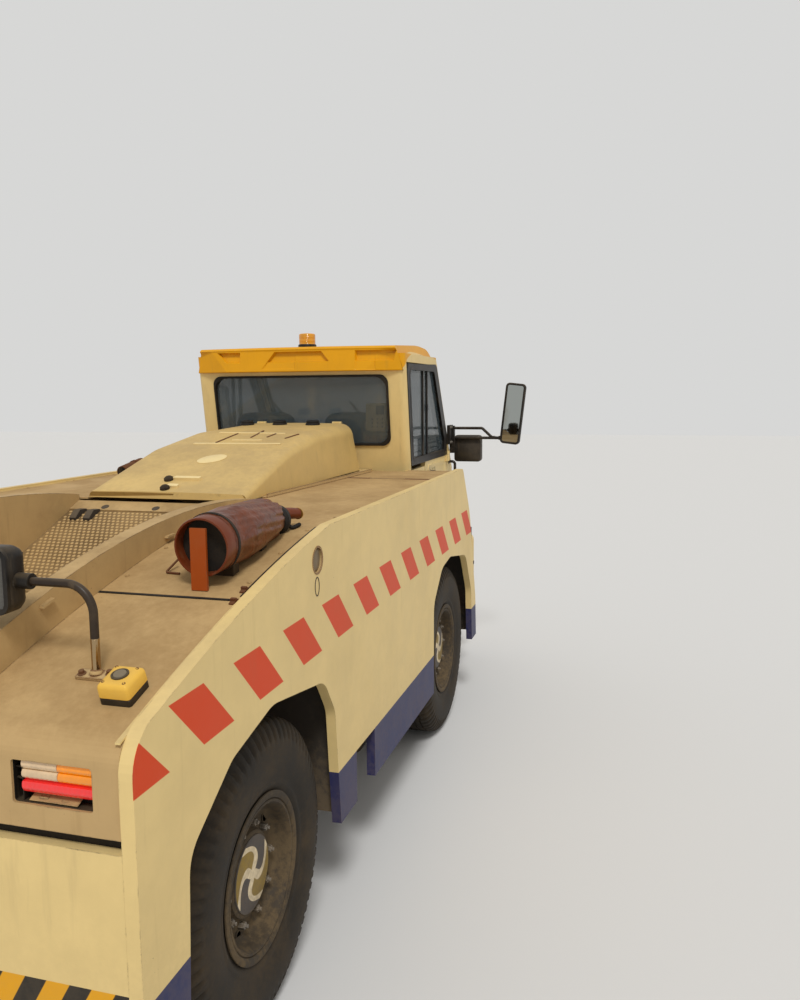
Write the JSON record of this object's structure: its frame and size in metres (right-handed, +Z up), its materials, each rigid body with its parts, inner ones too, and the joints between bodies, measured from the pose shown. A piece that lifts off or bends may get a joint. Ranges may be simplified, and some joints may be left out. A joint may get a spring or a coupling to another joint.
{
  "type": "aircraft pushback tractor",
  "caption": "Low four-wheeled airport tow tractor with thick side plates, a sloped view channel behind the hood, a front cab, and a drop-pin coupler at each end.",
  "frame": {"origin": "on the ground under the middle of the part, midway between the two couplers' ends", "axes": "+X forward towards the cab and bumper, +Y to the left side, +Z up"},
  "size_m": [5.55, 2.6872, 2.5573],
  "materials": {
    "chassis_paint": "satin, dusty",
    "engine_paint": "satin",
    "coupler_steel": "worn",
    "tyre_rubber": "dusty",
    "rim_paint": "satin",
    "cream_paint": "semi-gloss, worn",
    "deck_paint": "dusty",
    "yellow_paint": "semi-gloss",
    "black_paint": "satin",
    "pane": "clear",
    "seat_vinyl": "soft",
    "trim_plastic": "matte",
    "lamp_lens": "gloss",
    "lamp_clear": "gloss",
    "bottle_red": "gloss",
    "bracket_orange": "worn"
  },
  "bodies": {
    "chassis": {"frame": "chassis_paint", "bulkheads": "chassis_paint", "rear_axle": "chassis_paint", "front_axle": "chassis_paint", "leaf_springs": "chassis_paint", "engine": "engine_paint", "driveline": "chassis_paint", "fuel_tank": "black_paint", "side_plate_right": "cream_paint", "side_plate_left": "cream_paint", "channel_walls": "cream_paint", "channel_floor": "deck_paint", "deck_plates": "deck_paint", "cowl_strip": "cream_paint", "rear_skins": "deck_paint", "rear_plate": "cream_paint", "tail_lamps": "lamp_lens", "hitch_rear": "coupler_steel", "hitch_front": "coupler_steel", "cab_tub": "cream_paint", "cab_front": "cream_paint", "cab_rear": "cream_paint", "cab_roof": "yellow_paint", "cab_glass": "pane", "seats": "seat_vinyl", "dash": "trim_plastic", "bumper": "cream_paint", "steps": "chassis_paint", "headlamps": "lamp_clear", "mirrors": "black_paint", "beacon": "lamp_lens", "handrail": "black_paint", "work_lamp": "black_paint", "stop_box": "yellow_paint", "extinguisher": "bottle_red", "bottle_bracket": "bracket_orange"},
    "knuckle_right": {"knuckle_right": "chassis_paint"},
    "knuckle_left": {"knuckle_left": "chassis_paint"},
    "tie_rod": {"tie_rod": "chassis_paint"},
    "wheel_front_right": {"tyre_front_right": "tyre_rubber", "rim_front_right": "rim_paint"},
    "wheel_front_left": {"tyre_front_left": "tyre_rubber", "rim_front_left": "rim_paint"},
    "wheel_rear_right": {"tyre_rear_right": "tyre_rubber", "rim_rear_right": "rim_paint"},
    "wheel_rear_left": {"tyre_rear_left": "tyre_rubber", "rim_rear_left": "rim_paint"},
    "hood": {"hood": "cream_paint"},
    "door_right": {"door_right": "black_paint", "door_glass_right": "pane"},
    "door_left": {"door_left": "black_paint", "door_glass_left": "pane"}
  },
  "joints": [
    {"name": "steer_right", "type": "hinge", "parent": "chassis", "child": "knuckle_right", "pos_m": [0.955, -0.845, 0.527], "axis": [0, 0, 1], "range_deg": [-25, 25]},
    {"name": "steer_left", "type": "hinge", "parent": "chassis", "child": "knuckle_left", "pos_m": [0.955, 0.845, 0.527], "axis": [0, 0, 1], "range_deg": [-25, 25]},
    {"name": "tie_rod_slide", "type": "slide", "parent": "chassis", "child": "tie_rod", "axis": [0, 1, 0], "range_m": [-0.0656, 0.0656]},
    {"name": "spin_front_right", "type": "hinge", "parent": "knuckle_right", "child": "wheel_front_right", "pos_m": [0.955, -0.905, 0.527], "axis": [0, 1, 0], "continuous": true},
    {"name": "spin_front_left", "type": "hinge", "parent": "knuckle_left", "child": "wheel_front_left", "pos_m": [0.955, 0.905, 0.527], "axis": [0, 1, 0], "continuous": true},
    {"name": "spin_rear_right", "type": "hinge", "parent": "chassis", "child": "wheel_rear_right", "pos_m": [-1.77, -0.905, 0.527], "axis": [0, 1, 0], "continuous": true},
    {"name": "spin_rear_left", "type": "hinge", "parent": "chassis", "child": "wheel_rear_left", "pos_m": [-1.77, 0.905, 0.527], "axis": [0, 1, 0], "continuous": true},
    {"name": "hood_lift", "type": "hinge", "parent": "chassis", "child": "hood", "pos_m": [1.103, 0, 1.955], "axis": [0, 1, 0], "range_deg": [0, 50]},
    {"name": "door_right_swing", "type": "hinge", "parent": "chassis", "child": "door_right", "pos_m": [2.297, -0.752, 1.4], "axis": [0, 0, 1], "range_deg": [0, 70]},
    {"name": "door_left_swing", "type": "hinge", "parent": "chassis", "child": "door_left", "pos_m": [2.297, 0.752, 1.4], "axis": [0, 0, -1], "range_deg": [0, 70]}
  ],
  "couplings": [
    {"joint": "steer_left", "follows": "steer_right", "ratio": 1},
    {"joint": "tie_rod_slide", "follows": "steer_right", "m_per_rad": -0.15}
  ]
}
